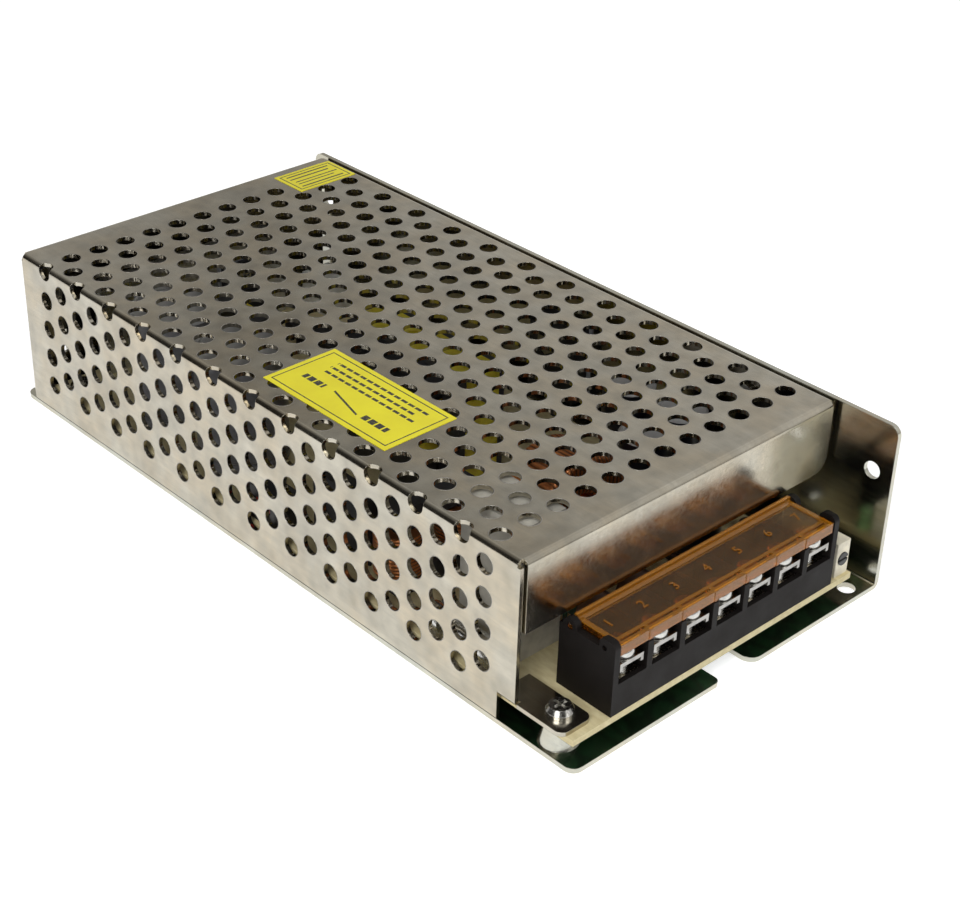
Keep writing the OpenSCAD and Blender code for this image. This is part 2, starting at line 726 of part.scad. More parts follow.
leg_l = trafo_l / 2 - 8;
module main_transformer_bobbin() color([0.12, 0.12, 0.12]) {
    for (z = [trafo_low + 6, trafo_low + trafo_h - 7]) difference() {
        block(trafo_x - trafo_d / 2 - 7.5, trafo_y - leg_l / 2 - 7.7, z,
            trafo_x + trafo_d / 2 + 7.5, trafo_y + leg_l / 2 + 7.7, z + 1);
        block(trafo_x - trafo_d / 2 - eps, trafo_y - leg_l / 2 - eps, z - 1,
            trafo_x + trafo_d / 2 + eps, trafo_y + leg_l / 2 + eps, z + 2);
    }
    for (s = [-1, 1]) {
        x = trafo_x + s * (trafo_d / 2 + 4);
        block(x - 3.2, trafo_y - leg_l / 2 - 7.7, board_top,
            x + 3.2, trafo_y + leg_l / 2 + 7.7, trafo_low + 6);
    }
}

module main_transformer_winding() color([0.90, 0.80, 0.20]) {
    z = trafo_low + 7;
    difference() {
        translate([0, 0, z]) linear_extrude(trafo_h - 14) difference() {
            translate([trafo_x - trafo_d / 2 - 7, trafo_y - leg_l / 2 - 7])
                square([trafo_d + 14, leg_l + 14]);
            for (sx = [-1, 1], sy = [-1, 1])
                translate([trafo_x + sx * (trafo_d / 2 + 7), trafo_y + sy * (leg_l / 2 + 7)])
                    scale([-sx, -sy]) corner_waste(3);
            translate([trafo_x - trafo_d / 2 - eps, trafo_y - leg_l / 2 - eps])
                square([trafo_d + 2 * eps, leg_l + 2 * eps]);
        }
    }
}

module main_transformer_tape() color([0.92, 0.82, 0.20])
    along_x(trafo_x - trafo_d / 2 + 2, trafo_d - 4) translate([trafo_y, trafo_low]) difference() {
        translate([-trafo_l / 2 - 0.3, -0.3]) square([trafo_l + 0.6, trafo_h + 0.6]);
        translate([-trafo_l / 2, 0]) square([trafo_l, trafo_h]);
    }

module driver_transformer_core() color([0.22, 0.22, 0.23])
    along_x(driver_x - 2.5, 5) translate([driver_y, board_top + 1]) difference() {
        translate([-10, 0]) square([20, 20]);
        for (s = [-1, 1]) translate([s * 5 - 2.5, 3]) square([5, 14]);
    }

module driver_transformer_winding() color([0.90, 0.80, 0.20]) {
    translate([0, 0, board_top + 4]) linear_extrude(14) difference() {
        translate([driver_x - 7, driver_y - 7.3]) square([14, 14.6]);
        for (sx = [-1, 1], sy = [-1, 1]) translate([driver_x + sx * 7, driver_y + sy * 7.3])
            scale([-sx, -sy]) corner_waste(2);
        translate([driver_x - 2.5 - eps, driver_y - 2.5 - eps]) square([5 + 2 * eps, 5 + 2 * eps]);
    }
    for (s = [-1, 1]) block(driver_x + s * 5.2 - 1.2, driver_y - 6, board_top,
        driver_x + s * 5.2 + 1.2, driver_y + 6, board_top + 4);
}

module heat_sink() color([0.72, 0.73, 0.74]) difference() {
    block(sink_x0, sink_y, board_top, sink_x1, sink_y + sink_t, board_top + sink_h);
    for (x = TRANSISTORS_X) translate([x, sink_y - 1, transistor_z + 12.5])
        rotate([-90, 0, 0]) cylinder(r = thread_r, h = sink_t + 2);
}

module switching_transistors() color([0.12, 0.12, 0.13]) for (x = TRANSISTORS_X)
    translate([x, sink_y - pad_t, transistor_z]) difference() {
        union() {
            block(-5.1, -4.5, 0, 5.1, 0, 9.2);
            block(-5.1, -1.3, 0, 5.1, 0, 15.6);
            for (p = [-2.54, 0, 2.54]) block(p - 0.4, -2.8, board_top - transistor_z, p + 0.4, -2.3, 0.5);
        }
        translate([0, -2, 12.5]) rotate([-90, 0, 0]) cylinder(r = 1.8, h = 3);
    }

module transistor_screws() color([0.8, 0.8, 0.8]) for (x = TRANSISTORS_X)
    translate([x, sink_y - pad_t - 1.3, transistor_z + 12.5]) rotate([90, 0, 0])
        pan_screw(shank_r, 2.8, 2, pad_t + 1.3 + sink_t - 0.2, 1.6);

module insulating_pads() color([0.75, 0.75, 0.78]) {
    for (x = TRANSISTORS_X) difference() {
        block(x - 6, sink_y - pad_t, transistor_z - 1, x + 6, sink_y, transistor_z + 17);
        translate([x, sink_y - 2, transistor_z + 12.5]) rotate([-90, 0, 0]) cylinder(r = 1.8, h = 4);
    }
    difference() {
        block(wall_in - pad_t, rectifier_y - 9, rectifier_low - 1,
            wall_in, rectifier_y + 9, rectifier_low + rectifier_h + 0.2);
        translate([wall_in - 2, rectifier_y, rectifier_hole_z]) rotate([0, 90, 0]) cylinder(r = 1.8, h = 4);
    }
}

// The rectifier's back lies on the wall's pad, and its legs step out to the board's edge
module output_rectifier() color([0.12, 0.12, 0.13]) {
    leg_x = board_x1 - 2 - wall_in + pad_t;
    translate([wall_in - pad_t, rectifier_y, 0]) difference() {
        union() {
            block(-rectifier_t, -7.9, rectifier_low, 0, 7.9, rectifier_low + rectifier_h);
            for (y = [-5.4, 0, 5.4]) {
                block(-3.4, y - 0.6, rectifier_low - 1.6, -2.8, y + 0.6, rectifier_low + 0.5);
                block(leg_x, y - 0.6, rectifier_low - 1.6, -2.8, y + 0.6, rectifier_low - 1);
                block(leg_x, y - 0.6, board_top, leg_x + 0.6, y + 0.6, rectifier_low - 1);
            }
        }
        translate([-rectifier_t - 1, 0, rectifier_hole_z])
            rotate([0, 90, 0]) cylinder(r = 1.8, h = rectifier_t + 2);
    }
}

module rectifier_nut() color([0.8, 0.8, 0.8])
    translate([wall_in - pad_t - rectifier_t, rectifier_y, rectifier_hole_z])
        rotate([0, -90, 0]) difference() {
            cylinder(d = 6.2, h = nut_t, $fn = 6);
            translate([0, 0, -1]) cylinder(r = thread_r, h = nut_t + 2);
        }

module control_chip() color([0.12, 0.12, 0.13]) translate([chip_x, chip_y, board_top]) {
    block(-3.2, -9.8, 0.5, 3.2, 9.8, 4);
    for (s = [-1, 1], k = [0 : 7]) translate([s * 3.6, (k - 3.5) * 2.54, 0])
        translate([-0.45, -0.3, 0]) cube([0.9, 0.6, 2.4]);
}

module output_choke_core() color([0.85, 0.80, 0.35]) translate([choke_x, choke_y, choke_z])
    rotate([90, 0, 0]) translate([0, 0, -choke_t / 2 + 2]) difference() {
        cylinder(r = choke_d / 2 - 2, h = choke_t - 4);
        translate([0, 0, -1]) cylinder(r = choke_d / 4, h = choke_t);
    }

module output_choke_winding() color([0.75, 0.38, 0.15]) translate([choke_x, choke_y, choke_z])
    rotate([90, 0, 0]) rotate_extrude() {
        r0 = choke_d / 4;
        r1 = choke_d / 2 - 2;
        difference() {
            translate([r0 - 2, -choke_t / 2]) square([r1 - r0 + 4, choke_t]);
            translate([r0 - eps, -choke_t / 2 + 2 - eps]) square([r1 - r0 + 2 * eps, choke_t - 4 + 2 * eps]);
            translate([r0 - 2, -choke_t / 2]) corner_waste(1.5);
            translate([r1 + 2, -choke_t / 2]) mirror([1, 0]) corner_waste(1.5);
            translate([r0 - 2, choke_t / 2]) mirror([0, 1]) corner_waste(1.5);
            translate([r1 + 2, choke_t / 2]) mirror([0, 1]) mirror([1, 0]) corner_waste(1.5);
        }
    }

module output_capacitors() color([0.15, 0.22, 0.32])
    for (p = [[0.75, 0.151], [0.75, 0.237], [0.909, 0.248], [0.909, 0.334]])
        translate([across(p[0]), along(p[1]), board_top]) can(out_cap_d, out_cap_h);

module load_resistor() color([0.93, 0.92, 0.88])
    block(board_x1 - 11.2, board_y1 - 17, board_top, board_x1 - 2, board_y1 - 5, board_top + load_h);

module voltage_label() color([0.92, 0.86, 0.15])
    block(left + 7.1, trafo_y + 3.25 - label_l, case_h,
        left + 7.1 + label_w, trafo_y + 3.25, case_h + label_t);

module small_label() color([0.92, 0.86, 0.15])
    block(cover_right - cover_r - small_label_l, cover_rear - 4 - small_label_w, case_h,
        cover_right - cover_r, cover_rear - 4, case_h + label_t);

chassis();
mesh_cover();
circuit_board();
board_screws();
cover_foot_screw();
wall_screws();
terminal_block();
terminal_contacts();
for (i = [1 : WAYS]) {
    terminal_clamp(i);
    terminal_screw(i);
}
terminal_cover();
trimmer_body();
trimmer_rotor();
power_lamp();
fuse_tube();
fuse_clips();
inrush_thermistor();
line_filter_capacitor();
suppression_capacitors();
line_choke_core();
line_choke_windings();
bridge_rectifier();
voltage_selector_body();
voltage_selector_slider();
bulk_capacitor(bulk_rear_y - bulk_step);  // bulk_capacitor_front
bulk_capacitor(bulk_rear_y);  // bulk_capacitor_rear
main_transformer_core();
main_transformer_bobbin();
main_transformer_winding();
main_transformer_tape();
driver_transformer_core();
driver_transformer_winding();
heat_sink();
switching_transistors();
transistor_screws();
control_chip();
output_rectifier();
insulating_pads();
rectifier_nut();
output_choke_core();
output_choke_winding();
output_capacitors();
load_resistor();
voltage_label();
small_label();
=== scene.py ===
"""Mesh case switching power supply: finishes, fine pieces, light and camera."""
import math

import bmesh
import bpy
from bpy.props import FloatProperty, FloatVectorProperty, IntProperty, PointerProperty
from bpy.types import Operator, Panel, PropertyGroup
from mathutils import Matrix, Vector


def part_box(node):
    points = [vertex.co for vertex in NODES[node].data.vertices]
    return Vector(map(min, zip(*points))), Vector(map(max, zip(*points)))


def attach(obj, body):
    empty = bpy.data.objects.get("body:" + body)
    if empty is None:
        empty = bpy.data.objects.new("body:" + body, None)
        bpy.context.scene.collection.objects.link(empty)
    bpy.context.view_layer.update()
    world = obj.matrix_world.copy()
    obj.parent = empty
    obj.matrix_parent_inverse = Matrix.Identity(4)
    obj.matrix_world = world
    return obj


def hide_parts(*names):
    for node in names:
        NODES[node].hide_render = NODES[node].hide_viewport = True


bl_info = {
    "name": "Mesh case power supply",
    "version": (1, 0, 0),
    "blender": (4, 5, 0),
    "location": "3D View > Sidebar > Power supply",
    "description": "Dresses the packed power supply with finishes, fine pieces, light and a camera",
    "category": "Object",
}

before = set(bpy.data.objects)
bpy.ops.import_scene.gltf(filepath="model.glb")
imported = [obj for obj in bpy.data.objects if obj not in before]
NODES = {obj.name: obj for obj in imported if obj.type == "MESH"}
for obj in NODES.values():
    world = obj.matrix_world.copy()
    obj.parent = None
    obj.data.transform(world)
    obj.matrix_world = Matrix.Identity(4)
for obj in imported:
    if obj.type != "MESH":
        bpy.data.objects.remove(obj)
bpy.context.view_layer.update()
MM = 0.001
WAYS = 7


# ---------------------------------------------------------------- sizes from the solids

def low(node):
    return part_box(node)[0]


def high(node):
    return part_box(node)[1]


def middle(node):
    lo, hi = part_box(node)
    return (lo + hi) / 2


LID_TOP = low("voltage_label").z
COVER_LOW, COVER_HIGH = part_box("mesh_cover")
BOARD_TOP = high("circuit_board").z


# ---------------------------------------------------------------- settings

class SheetSettings(PropertyGroup):
    """Plated sheet of the base and the cover."""
    base_colour: FloatVectorProperty(
        name="Base plating", description="Colour of the base and the side wall",
        subtype="COLOR", size=3, min=0, max=1, default=(0.57, 0.57, 0.50))
    cover_colour: FloatVectorProperty(
        name="Cover plating", description="Colour of the perforated cover",
        subtype="COLOR", size=3, min=0, max=1, default=(0.53, 0.50, 0.42))
    roughness: FloatProperty(
        name="Roughness", description="Roughness of the plated sheet",
        subtype="FACTOR", min=0.05, max=1, default=0.17)
    mottle: FloatProperty(
        name="Mottle", description="Strength of the plating's cloudy variation",
        subtype="FACTOR", min=0, max=1, default=0.45)


class PerforationSettings(PropertyGroup):
    """The punched pattern's lattice, for the raised rims round its holes."""
    hole: FloatProperty(
        name="Hole diameter", description="Diameter of the punched holes",
        unit="LENGTH", default=4.6 * MM)
    pitch: FloatProperty(
        name="Hole spacing", description="Distance between neighbouring holes",
        unit="LENGTH", default=7.9 * MM)
    rear_margin: FloatProperty(
        name="Rear margin", description="Distance of the first row from the rear flap",
        unit="LENGTH", default=11.3 * MM)
    rows: IntProperty(
        name="Rows", description="Rows of holes along the cover", min=1, default=24)
    top_column: FloatProperty(
        name="Bend column on top", description="Place of the bend's column, from the left face",
        unit="LENGTH", default=0.1 * MM)
    side_column: FloatProperty(
        name="Bend column on the side", description="Place of the bend's column, below the top",
        unit="LENGTH", default=1.3 * MM)
    rim_width: FloatProperty(
        name="Rim width", description="Width of the raised rim round a hole",
        unit="LENGTH", default=0.18 * MM)
    rim_height: FloatProperty(
        name="Rim height", description="Height of the raised rim round a hole",
        unit="LENGTH", default=0.04 * MM)


class ScrewSettings(PropertyGroup):
    """Terminal screws."""
    thread_radius: FloatProperty(
        name="Thread radius", description="Outer radius of the thread",
        unit="LENGTH", default=1.75 * MM)
    thread_pitch: FloatProperty(
        name="Thread pitch", description="Distance between neighbouring turns of the thread",
        unit="LENGTH", default=0.6 * MM)
    colour: FloatVectorProperty(
        name="Plating", description="Colour of the nickel plated screws",
        subtype="COLOR", size=3, min=0, max=1, default=(0.60, 0.59, 0.56))


class PlasticSettings(PropertyGroup):
    """Moulded parts."""
    block_colour: FloatVectorProperty(
        name="Terminal block", description="Colour of the terminal block",
        subtype="COLOR", size=3, min=0, max=1, default=(0.008, 0.0065, 0.006))
    flip_cover_colour: FloatVectorProperty(
        name="Flip cover", description="Colour of the clear amber flip cover",
        subtype="COLOR", size=3, min=0, max=1, default=(0.64, 0.28, 0.035))
    digit_height: FloatProperty(
        name="Digit height", description="Height of the raised terminal numbers",
        unit="LENGTH", default=2.6 * MM)


class StickerSettings(PropertyGroup):
    """Printed stickers on the cover."""
    paper: FloatVectorProperty(
        name="Paper", description="Colour of the stickers",
        subtype="COLOR", size=3, min=0, max=1, default=(0.98, 0.86, 0.02))
    ink: FloatVectorProperty(
        name="Ink", description="Colour of the printed lines and bars",
        subtype="COLOR", size=3, min=0, max=1, default=(0.02, 0.02, 0.02))


class StageSettings(PropertyGroup):
    """Floor, light and camera."""
    key_power: FloatProperty(
        name="Key light", description="Power of the large soft light in front on the left",
        unit="POWER", min=0, default=4.2)
    fill_power: FloatProperty(
        name="Fill light", description="Power of the soft light in front on the right",
        unit="POWER", min=0, default=1.8)
    top_power: FloatProperty(
        name="Top light", description="Power of the soft light overhead",
        unit="POWER", min=0, default=1.6)
    room_level: FloatProperty(
        name="Room level", description="Brightness of the room's soft light",
        min=0, default=0.3)
    lens: FloatProperty(
        name="Focal length", description="Focal length of the camera on a 36 mm wide sensor",
        unit="CAMERA", min=10, default=72.11)
    distance: FloatProperty(
        name="Camera distance", description="Distance of the camera from the point it looks at",
        unit="LENGTH", min=0.05, default=0.4399)
    azimuth: FloatProperty(
        name="Azimuth", description="Direction of the camera round the object",
        subtype="ANGLE", default=math.radians(-43.95))
    elevation: FloatProperty(
        name="Elevation", description="Height of the camera above the horizon",
        subtype="ANGLE", default=math.radians(31.33))
    roll: FloatProperty(
        name="Roll", description="Turn of the camera about its line of sight",
        subtype="ANGLE", default=math.radians(1.76))


class SupplySettings(PropertyGroup):
    """All settings of the power supply."""
    sheet: PointerProperty(type=SheetSettings)
    perforation: PointerProperty(type=PerforationSettings)
    screws: PointerProperty(type=ScrewSettings)
    plastic: PointerProperty(type=PlasticSettings)
    stickers: PointerProperty(type=StickerSettings)
    stage: PointerProperty(type=StageSettings)


def settings():
    return bpy.context.scene.supply


# ---------------------------------------------------------------- material building

class Finish:
    """A node material under construction."""

    def __init__(self, name):
        self.material = bpy.data.materials.new(name)
        self.material.use_nodes = True
        self.nodes = self.material.node_tree.nodes
        self.links = self.material.node_tree.links
        self.shader = self.nodes["Principled BSDF"]
        self.place = self.nodes.new("ShaderNodeTexCoord").outputs["Object"]

    def node(self, kind, **values):
        made = self.nodes.new(kind)
        for key, value in values.items():
            setattr(made, key, value)
        return made

    def put(self, socket, value):
        if isinstance(value, bpy.types.NodeSocket):
            self.links.new(value, socket)
        elif socket.type == "RGBA" and len(value) == 3:
            socket.default_value = (*value, 1)
        else:
            socket.default_value = value

    def stretched(self, stretch):
        if tuple(stretch) == (1, 1, 1):
            return self.place
        mapping = self.node("ShaderNodeMapping")
        self.put(mapping.inputs["Vector"], self.place)
        mapping.inputs["Scale"].default_value = stretch
        return mapping.outputs["Vector"]

    def noise(self, size, detail=4, stretch=(1, 1, 1), roughness=0.55):
        """Noise whose features are about size metres across."""
        made = self.node("ShaderNodeTexNoise")
        self.put(made.inputs["Vector"], self.stretched(stretch))
        made.inputs["Scale"].default_value = 1 / size
        made.inputs["Detail"].default_value = detail
        made.inputs["Roughness"].default_value = roughness
        return made.outputs["Fac"]

    def cells(self, size, stretch=(1, 1, 1), feature="F1", output="Distance"):
        made = self.node("ShaderNodeTexVoronoi", feature=feature)
        self.put(made.inputs["Vector"], self.stretched(stretch))
        made.inputs["Scale"].default_value = 1 / size
        return made.outputs[output]

    def axis(self, letter, place=None):
        made = self.node("ShaderNodeSeparateXYZ")
        self.put(made.inputs[0], place or self.place)
        return made.outputs[letter]

    def maths(self, operation, first, second=0.0, third=0.0, clamp=False):
        made = self.node("ShaderNodeMath", operation=operation, use_clamp=clamp)
        for socket, value in zip(made.inputs, (first, second, third)):
            self.put(socket, value)
        return made.outputs[0]

    def span(self, value, start, end, to_start=0.0, to_end=1.0):
        made = self.node("ShaderNodeMapRange")
        for name, given in zip(("Value", "From Min", "From Max", "To Min", "To Max"),
                               (value, start, end, to_start, to_end)):
            self.put(made.inputs[name], given)
        return made.outputs["Result"]

    def within(self, value, start, end):
        """1 where value lies between start and end."""
        return self.maths("MULTIPLY", self.maths("GREATER_THAN", value, start),
                          self.maths("LESS_THAN", value, end))

    def mix(self, share, first, second):
        made = self.node("ShaderNodeMix", data_type="RGBA")
        self.put(made.inputs[0], share)
        self.put(made.inputs[6], first)
        self.put(made.inputs[7], second)
        return made.outputs[2]

    def bump(self, height, strength, distance, below=None):
        made = self.node("ShaderNodeBump")
        made.inputs["Strength"].default_value = strength
        made.inputs["Distance"].default_value = distance
        self.put(made.inputs["Height"], height)
        if below is not None:
            self.put(made.inputs["Normal"], below)
        return made.outputs["Normal"]

    def soft_edges(self, radius):
        made = self.node("ShaderNodeBevel", samples=4)
        made.inputs["Radius"].default_value = radius
        return made.outputs["Normal"]

    def set(self, **values):
        names = {"colour": "Base Color", "metal": "Metallic", "rough": "Roughness",
                 "normal": "Normal", "ior": "IOR", "alpha": "Alpha", "clear": "Transmission Weight",
                 "coat": "Coat Weight", "coat_rough": "Coat Roughness", "glow": "Emission Color",
                 "glow_strength": "Emission Strength", "sub": "Subsurface Weight",
                 "specular": "Specular IOR Level"}
        for key, value in values.items():
            self.put(self.shader.inputs[names[key]], value)
        return self.material


def darker(colour, factor):
    return tuple(min(1.0, c * factor) for c in colour)


def plated_sheet(name, colour, streak, cloud):
    """Zinc plated sheet: cloudy plating, fine rolling streaks along one axis, a fine grain in the relief."""
    sheet = settings().sheet
    f = Finish(name)
    clouds = f.noise(9 * MM, 5)
    blotches = f.cells(3.2 * MM, feature="SMOOTH_F1")
    tone = f.maths("ADD", f.maths("MULTIPLY", clouds, 0.7), f.maths("MULTIPLY", blotches, 0.3))
    warm = f.mix(f.span(f.noise(14 * MM, 4), 0.4, 0.6), colour,
                 (colour[0], colour[1] * 0.94, colour[2] * 0.86))
    tint = f.mix(f.span(tone, 0.3, 0.62), f.mix(cloud, warm, darker(colour, 0.35)), warm)
    streaks = f.noise(1.1 * MM, 6, streak, 0.7)
    fine = f.noise(0.5 * MM, 3)
    tint = f.mix(f.span(streaks, 0.35, 0.7, 0.0, 0.4), tint, darker(colour, 0.66))
    rough = f.span(f.maths("ADD", streaks, f.maths("MULTIPLY", clouds, 0.5)), 0.45, 1.1,
                   sheet.roughness * 0.6, sheet.roughness * 1.6)
    relief = f.bump(f.maths("ADD", streaks, f.maths("MULTIPLY", fine, 0.4)), 0.2, 0.02 * MM,
                    f.soft_edges(0.14 * MM))
    relief = f.bump(clouds, 0.25, 0.1 * MM, relief)
    return f.set(colour=tint, metal=1.0, rough=rough, normal=relief)


def moulded(name, colour, rough=0.42, grain=0.25 * MM, bite=0.18, edge=0.15 * MM, wear=1.35, shine=0.5):
    """Moulded plastic: fine spark texture, slight flow clouds, a soft edge."""
    f = Finish(name)
    clouds = f.noise(6 * MM, 3)
    specks = f.noise(grain, 2)
    tint = f.mix(f.span(clouds, 0.35, 0.65), darker(colour, 0.85), darker(colour, wear))
    relief = f.bump(specks, bite, 0.03 * MM, f.soft_edges(edge))
    return f.set(colour=tint, rough=f.span(clouds, 0.3, 0.7, rough * 0.85, rough * 1.2), normal=relief,
                 specular=shine)


def bright_metal(name, colour, rough=0.24, metal=1.0, stretch=(1, 1, 1), edge=0.12 * MM):
    """Nickel or tin plate: fine handling marks and faint stains."""
    f = Finish(name)
    stains = f.noise(1.6 * MM, 4)
    marks = f.noise(0.35 * MM, 5, stretch)
    tint = f.mix(f.span(stains, 0.4, 0.7), colour, darker(colour, 0.72))
    relief = f.bump(marks, 0.25, 0.02 * MM, f.soft_edges(edge))
    return f.set(colour=tint, metal=metal, rough=f.span(marks, 0.3, 0.7, rough * 0.6, rough * 1.5),
                 normal=relief)


def clear_amber(name, colour, plate_top, front):
    """Clear moulded amber plastic with faint flow lines; the rims round its plate get a deeper tint and less
    transmission, painted light for the glow of light coming out through the edges.
    """
    f = Finish(name)
    flow = f.noise(4 * MM, 3, (0.35, 1, 1))
    relief = f.bump(flow, 0.12, 0.1 * MM, f.soft_edges(0.2 * MM))
    # rim mask: the plate's raised rims and front skirt, which get the painted edge glow
    rims = f.maths("MAXIMUM", f.maths("GREATER_THAN", f.axis("Z"), plate_top + 0.02 * MM),
                   f.maths("LESS_THAN", f.axis("Y"), front + 1.15 * MM))
    # deeper amber for the rims: painted edge glow, not a denser plastic
    edge_glow_tint = (colour[0] * 0.85, colour[1] * 0.75, colour[2] * 0.3)
    tint = f.mix(f.span(flow, 0.35, 0.65), darker(colour, 0.88), darker(colour, 1.12))
    tint = f.mix(rims, tint, edge_glow_tint)
    return f.set(colour=tint, rough=f.span(flow, 0.3, 0.7, 0.05, 0.12), normal=relief, ior=1.5,
                 clear=f.span(rims, 0, 1, 0.96, 0.6))


def board_laminate(name, top_z):
    """Cream laminate on top and dark green lacquer with a cell pattern of darker lines below."""
    f = Finish(name)
    fibres = f.noise(1.2 * MM, 5, (1, 0.35, 1))
    cream = f.mix(f.span(fibres, 0.3, 0.7), (0.62, 0.52, 0.28), (0.78, 0.69, 0.42))
    tracks = f.cells(5.5 * MM, (1, 0.6, 1), "DISTANCE_TO_EDGE")
    copper = f.mix(f.maths("GREATER_THAN", tracks, 0.09), (0.012, 0.05, 0.022), (0.02, 0.10, 0.04))
    under = f.maths("LESS_THAN", f.axis("Z"), top_z - 1.55 * MM)
    tint = f.mix(under, cream, copper)
    return f.set(colour=tint, rough=f.span(fibres, 0.3, 0.7, 0.45, 0.6),
                 normal=f.bump(fibres, 0.2, 0.03 * MM, f.soft_edges(0.1 * MM)))


def wound_wire(name, colour, axis, wire=0.9 * MM):
    """Enamelled wire lying side by side on a winding."""
    f = Finish(name)
    wave = f.axis(axis)
    wire_ridges_and_groove_shade = f.maths("ABSOLUTE", f.maths("SINE", f.maths("MULTIPLY", wave, math.pi / wire)))
    clouds = f.noise(3 * MM, 3)
    # the grooves between the turns are painted darker, as shade between the wires; the same wave also drives
    # the bump of the ridges
    tint = f.mix(wire_ridges_and_groove_shade, darker(colour, 0.35), f.mix(f.span(clouds, 0.3, 0.7), colour, darker(colour, 1.25)))
    return f.set(colour=tint, metal=0.75, rough=0.3, normal=f.bump(wire_ridges_and_groove_shade, 0.9, 0.2 * MM))


def banded(name, colour, band, start, end, rough=0.3, metal=0.0):
    """A shrunk sleeve or tape with one plain band between two heights."""
    f = Finish(name)
    clouds = f.noise(2.5 * MM, 3)
    body = f.mix(f.span(clouds, 0.3, 0.7), darker(colour, 0.85), darker(colour, 1.15))
    tint = f.mix(f.within(f.axis("Z"), start, end), body, band)
    return f.set(colour=tint, metal=metal, rough=rough,
                 normal=f.bump(clouds, 0.2, 0.05 * MM, f.soft_edges(0.2 * MM)))


def printed_sticker(name, node, inset, bars, stroke=None):
    """A sticker with a thin frame, rows of broken bars and a slanted stroke.

    Each bar is (across, along, width, length) and the stroke (from x, from y, to x, to y), in
    millimetres from the sticker's middle.
    """
    dash_pitch, dash_gap, stroke_half = 2.3 * MM, 0.2, 0.28 * MM
    look = settings().stickers
    lo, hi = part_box(node)
    centre, half = (lo + hi) / 2, (hi - lo) / 2
    f = Finish(name)
    x = f.maths("SUBTRACT", f.axis("X"), centre.x)
    y = f.maths("SUBTRACT", f.axis("Y"), centre.y)
    edge_x = f.maths("SUBTRACT", half.x, f.maths("ABSOLUTE", x))
    edge_y = f.maths("SUBTRACT", half.y, f.maths("ABSOLUTE", y))
    nearest = f.maths("MINIMUM", edge_x, edge_y)
    line = f.within(nearest, inset, inset + 0.32 * MM)
    ink = None
    for along_x, along_y, width, height in bars:
        off_x = f.maths("ABSOLUTE", f.maths("SUBTRACT", x, along_x * MM))
        off_y = f.maths("ABSOLUTE", f.maths("SUBTRACT", y, along_y * MM))
        bar = f.maths("MULTIPLY", f.maths("LESS_THAN", off_x, width / 2 * MM),
                      f.maths("LESS_THAN", off_y, height / 2 * MM))
        ink = bar if ink is None else f.maths("MAXIMUM", ink, bar)
    dash = f.maths("FRACT", f.maths("DIVIDE", y, dash_pitch))
    ink = f.maths("MULTIPLY", ink, f.maths("GREATER_THAN", dash, dash_gap))
    ink = f.maths("MAXIMUM", ink, line)
    if stroke:
        x_from, y_from, x_to, y_to = (v * MM for v in stroke)
        share = f.maths("DIVIDE", f.maths("SUBTRACT", y, y_from), y_to - y_from)
        path = f.maths("ADD", x_from, f.maths("MULTIPLY", share, x_to - x_from))
        off_path = f.maths("ABSOLUTE", f.maths("SUBTRACT", x, path))
        slant = f.maths("MULTIPLY", f.within(share, 0, 1), f.maths("LESS_THAN", off_path, stroke_half))
        ink = f.maths("MAXIMUM", ink, slant)
    worn = f.noise(0.35 * MM, 2)
    ink = f.maths("MULTIPLY", ink, f.span(worn, 0.3, 0.45, 0.75, 1.0))
    clouds = f.noise(8 * MM, 3)
    paper = f.mix(f.span(clouds, 0.3, 0.7), darker(look.paper, 0.94), darker(look.paper, 1.05))
    tint = f.mix(ink, paper, look.ink)
    return f.set(colour=tint, rough=0.42, coat=0.15, coat_rough=0.25,
                 normal=f.bump(f.noise(0.4 * MM, 2), 0.08, 0.02 * MM))


def dress(node, material):
    """Gives a node of the solids its finish."""
    slots = NODES[node].material_slots
    for slot in slots:
        slot.material = material
    if not slots:
        NODES[node].data.materials.append(material)


# ---------------------------------------------------------------- mesh building

def piece(name, mesh, material, body, smooth=True):
    """A finished piece at the origin, riding on its body."""
    made = bpy.data.objects.new(name, mesh)
    bpy.context.scene.collection.objects.link(made)
    mesh.materials.clear()
    mesh.materials.append(material)
    for face in mesh.polygons:
        face.use_smooth = smooth
    if smooth:
        mesh.set_sharp_from_angle(angle=math.radians(35))
    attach(made, body)
    return made


def mesh_from(shape, name):
    mesh = bpy.data.meshes.new(name)
    shape.to_mesh(mesh)
    shape.free()
    return mesh


def turned(shape, profile, steps, centre=(0, 0, 0)):
    """Adds a closed turned form: profile lists (radius, height) from the bottom to the top."""
    rings = []
    for radius, height in profile:
        if radius < 1e-7:
            rings.append([shape.verts.new((centre[0], centre[1], centre[2] + height))])
            continue
        rings.append([shape.verts.new((
            centre[0] + radius * math.cos(2 * math.pi * i / steps),
            centre[1] + radius * math.sin(2 * math.pi * i / steps),
            centre[2] + height)) for i in range(steps)])
    for lower, upper in zip(rings, rings[1:]):
        for i in range(steps):
            j = (i + 1) % steps
            corners = [lower[i % len(lower)], lower[j % len(lower)],
                       upper[j % len(upper)], upper[i % len(upper)]]
            unique = []
            for corner in corners:
                if corner not in unique:
                    unique.append(corner)
            if len(unique) > 2:
                shape.faces.new(unique)


